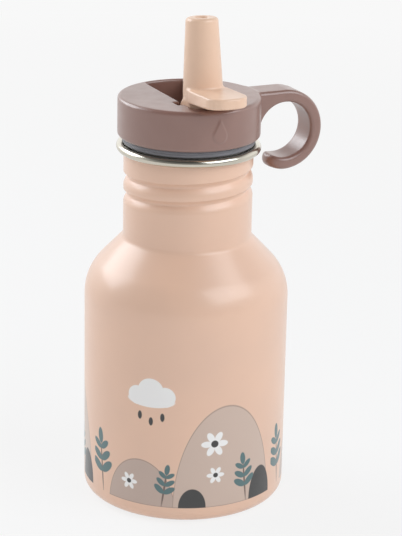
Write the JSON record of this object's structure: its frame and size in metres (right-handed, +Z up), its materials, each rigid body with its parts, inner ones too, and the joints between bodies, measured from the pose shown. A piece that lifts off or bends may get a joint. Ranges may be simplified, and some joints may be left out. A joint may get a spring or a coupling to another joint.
{
  "type": "drinking bottle",
  "caption": "Small straight-sided steel drinking bottle for a child, with narrow threaded neck, screw lid with a C-shaped carry hook, and a spout that flips down into a recess in the lid.",
  "frame": {"origin": "centre of the base, on the bottle's axis, in the plane it stands on", "axes": "+Z up along the bottle's axis, -Y towards the thumb tab (front), +X towards the carry hook"},
  "size_m": [0.0829, 0.07, 0.1695],
  "materials": {
    "body_coat": "fine powder coat in pale peach, bare polished steel at the lip",
    "seal_grey": "satin grey silicone",
    "lid_mauve": "satin moulded polypropylene, dusty mauve",
    "plug_white": "satin moulded polypropylene, off-white",
    "spout_peach": "satin moulded plastic, pale peach",
    "silicone_clear": "soft translucent silicone",
    "straw_clear": "smooth translucent polypropylene"
  },
  "bodies": {
    "bottle": {"bottle_shell": "body_coat"},
    "gasket": {"lid_gasket": "seal_grey"},
    "lid": {"lid_cap": "lid_mauve", "lid_plug": "plug_white", "spout_seal": "seal_grey", "vent_valve": "silicone_clear", "straw_socket": "silicone_clear", "straw": "straw_clear"},
    "spout": {"spout": "spout_peach"}
  },
  "joints": [
    {"name": "lid_lift", "type": "slide", "parent": "bottle", "child": "gasket", "axis": [0, 0, 1], "range_m": [0, 0.006]},
    {"name": "lid_turn", "type": "hinge", "parent": "gasket", "child": "lid", "pos_m": [0, 0, 0.12766], "axis": [0, 0, 1], "range_deg": [0, 360]},
    {"name": "spout_flip", "type": "hinge", "parent": "lid", "child": "spout", "pos_m": [0, -0.0109, 0.13796], "axis": [-1, 0, 0], "range_deg": [0, 85.5]}
  ],
  "couplings": [
    {"joint": "lid_lift", "follows": "lid_turn", "m_per_rad": 0.00095493}
  ]
}
